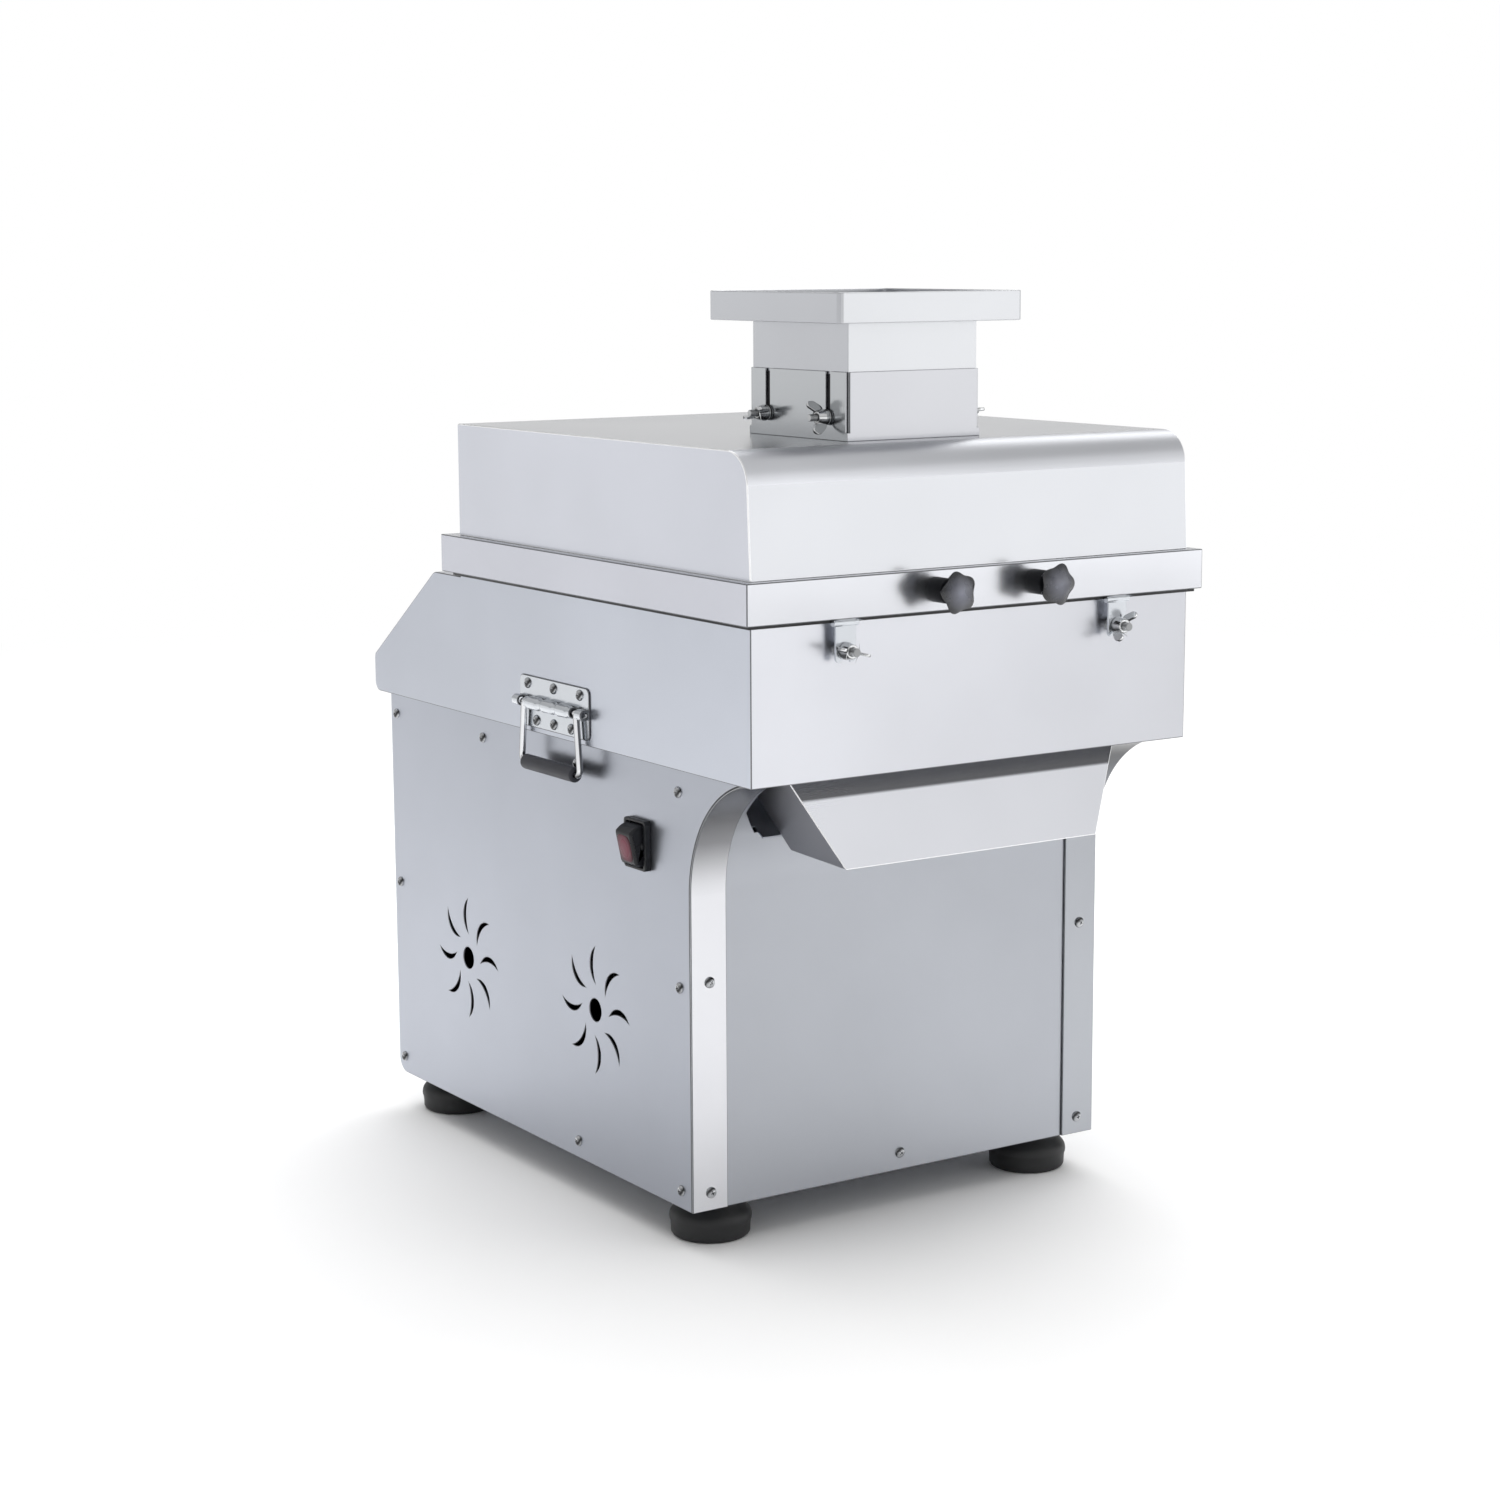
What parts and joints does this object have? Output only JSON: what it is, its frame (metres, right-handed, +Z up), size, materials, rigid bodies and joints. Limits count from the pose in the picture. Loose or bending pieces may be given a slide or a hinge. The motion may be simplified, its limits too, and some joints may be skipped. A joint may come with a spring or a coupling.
{
  "type": "industrial vegetable dicer",
  "caption": "Stainless steel bench dicer with a lift-off hood, square feed tube and tray, twin knife rollers, front discharge chute, side handles and a rocker switch.",
  "frame": {"origin": "middle of the overall box in plan, on the floor under the rubber feet", "axes": "+Z up, -Y the discharge side with the star knobs, +X to the right of someone facing that side"},
  "size_m": [0.4056, 0.616, 0.6841],
  "materials": {
    "panel_steel": "satin rolled stainless sheet",
    "bright_steel": "half-polished stainless sheet",
    "fastener_steel": "polished stainless fasteners and wire",
    "knife_steel": "ground stainless knives and shafts",
    "plate_steel": "milled plate",
    "black_rubber": "moulded rubber",
    "belt_rubber": "wrapped belt fabric and rubber",
    "black_plastic": "moulded black plastic",
    "red_lens": "dark red translucent rocker",
    "motor_paint": "blue-grey motor paint",
    "grey_iron": "turned grey iron and steel rail"
  },
  "bodies": {
    "cabinet": {"base_pan": "panel_steel", "rubber_feet": "black_rubber", "left_side_panel": "panel_steel", "right_side_panel": "panel_steel", "rear_panel": "panel_steel", "front_panel": "panel_steel", "left_corner_strip": "bright_steel", "right_corner_strip": "bright_steel", "panel_screws": "fastener_steel", "cable_gland": "black_plastic", "basin": "panel_steel", "gear_bulkhead": "panel_steel", "left_bearing_plate": "plate_steel", "right_bearing_plate": "plate_steel", "knife_bearings": "knife_steel", "front_comb": "knife_steel", "rear_comb": "knife_steel", "discharge_slide": "panel_steel", "discharge_chute": "panel_steel", "clamp_studs": "fastener_steel", "motor_housing": "motor_paint", "motor_fan_cover": "black_plastic", "motor_rails": "grey_iron", "drive_belt": "belt_rubber", "switch_frame": "black_plastic", "left_handle_plate": "bright_steel", "right_handle_plate": "bright_steel"},
    "hood": {"hood_cover": "bright_steel", "hood_skirt": "bright_steel", "feed_collar": "bright_steel", "hasp_tabs": "bright_steel"},
    "feed": {"feed_tube": "bright_steel", "hopper_tray": "bright_steel", "feed_studs": "fastener_steel"},
    "left_front_feed_nut": {"left_front_feed_nut": "fastener_steel"},
    "left_rear_feed_nut": {"left_rear_feed_nut": "fastener_steel"},
    "right_front_feed_nut": {"right_front_feed_nut": "fastener_steel"},
    "right_rear_feed_nut": {"right_rear_feed_nut": "fastener_steel"},
    "left_clamp_nut": {"left_clamp_nut": "fastener_steel"},
    "right_clamp_nut": {"right_clamp_nut": "fastener_steel"},
    "left_star_knob": {"left_star_knob": "black_plastic"},
    "right_star_knob": {"right_star_knob": "black_plastic"},
    "left_bail": {"left_handle_bail": "fastener_steel", "left_handle_grip": "black_rubber"},
    "right_bail": {"right_handle_bail": "fastener_steel", "right_handle_grip": "black_rubber"},
    "switch_rocker": {"switch_rocker": "red_lens"},
    "rear_knife": {"rear_knife_shaft": "knife_steel", "rear_blades": "knife_steel", "rear_spacers": "plate_steel", "rear_gear": "plate_steel", "driven_pulley": "grey_iron"},
    "front_knife": {"front_knife_shaft": "knife_steel", "front_blades": "knife_steel", "front_spacers": "plate_steel", "front_gear": "plate_steel"},
    "motor_rotor": {"motor_shaft": "knife_steel", "motor_pulley": "grey_iron"}
  },
  "joints": [
    {"name": "hood_lift", "type": "slide", "parent": "cabinet", "child": "hood", "axis": [0, 0, 1], "range_m": [0, 0.2]},
    {"name": "feed_height", "type": "slide", "parent": "hood", "child": "feed", "axis": [0, 0, 1], "range_m": [0, 0.028]},
    {"name": "left_front_feed_nut_turn", "type": "hinge", "parent": "feed", "child": "left_front_feed_nut", "pos_m": [-0.0803, -0.1965, 0.5971], "axis": [1, 0, 0], "continuous": true},
    {"name": "left_rear_feed_nut_turn", "type": "hinge", "parent": "feed", "child": "left_rear_feed_nut", "pos_m": [-0.0803, -0.1205, 0.5971], "axis": [1, 0, 0], "continuous": true},
    {"name": "right_front_feed_nut_turn", "type": "hinge", "parent": "feed", "child": "right_front_feed_nut", "pos_m": [0.0393, -0.1965, 0.5971], "axis": [1, 0, 0], "continuous": true},
    {"name": "right_rear_feed_nut_turn", "type": "hinge", "parent": "feed", "child": "right_rear_feed_nut", "pos_m": [0.0393, -0.1205, 0.5971], "axis": [1, 0, 0], "continuous": true},
    {"name": "left_clamp_nut_turn", "type": "hinge", "parent": "cabinet", "child": "left_clamp_nut", "pos_m": [-0.12, -0.28, 0.444], "axis": [0, 1, 0], "continuous": true},
    {"name": "right_clamp_nut_turn", "type": "hinge", "parent": "cabinet", "child": "right_clamp_nut", "pos_m": [0.12, -0.28, 0.444], "axis": [0, 1, 0], "continuous": true},
    {"name": "left_star_knob_turn", "type": "hinge", "parent": "hood", "child": "left_star_knob", "pos_m": [-0.0435, -0.29, 0.4811], "axis": [0, 1, 0], "continuous": true},
    {"name": "right_star_knob_turn", "type": "hinge", "parent": "hood", "child": "right_star_knob", "pos_m": [0.0435, -0.29, 0.4811], "axis": [0, 1, 0], "continuous": true},
    {"name": "left_bail_swing", "type": "hinge", "parent": "cabinet", "child": "left_bail", "pos_m": [-0.1971, -0.004, 0.3775], "axis": [0, 1, 0], "range_deg": [0, 90]},
    {"name": "right_bail_swing", "type": "hinge", "parent": "cabinet", "child": "right_bail", "pos_m": [0.1971, -0.004, 0.3775], "axis": [0, -1, 0], "range_deg": [0, 90]},
    {"name": "rocker_tip", "type": "hinge", "parent": "cabinet", "child": "switch_rocker", "pos_m": [-0.188, -0.112, 0.2905], "axis": [0, 1, 0], "range_deg": [0, 24]},
    {"name": "rear_knife_spin", "type": "hinge", "parent": "cabinet", "child": "rear_knife", "pos_m": [0, -0.1225, 0.408], "axis": [1, 0, 0], "continuous": true},
    {"name": "front_knife_spin", "type": "hinge", "parent": "cabinet", "child": "front_knife", "pos_m": [0, -0.1945, 0.408], "axis": [1, 0, 0], "continuous": true},
    {"name": "motor_spin", "type": "hinge", "parent": "cabinet", "child": "motor_rotor", "pos_m": [0, 0.055, 0.127], "axis": [1, 0, 0], "continuous": true}
  ],
  "couplings": [
    {"joint": "front_knife_spin", "follows": "rear_knife_spin", "ratio": -1},
    {"joint": "motor_spin", "follows": "rear_knife_spin", "ratio": 1.8333}
  ]
}
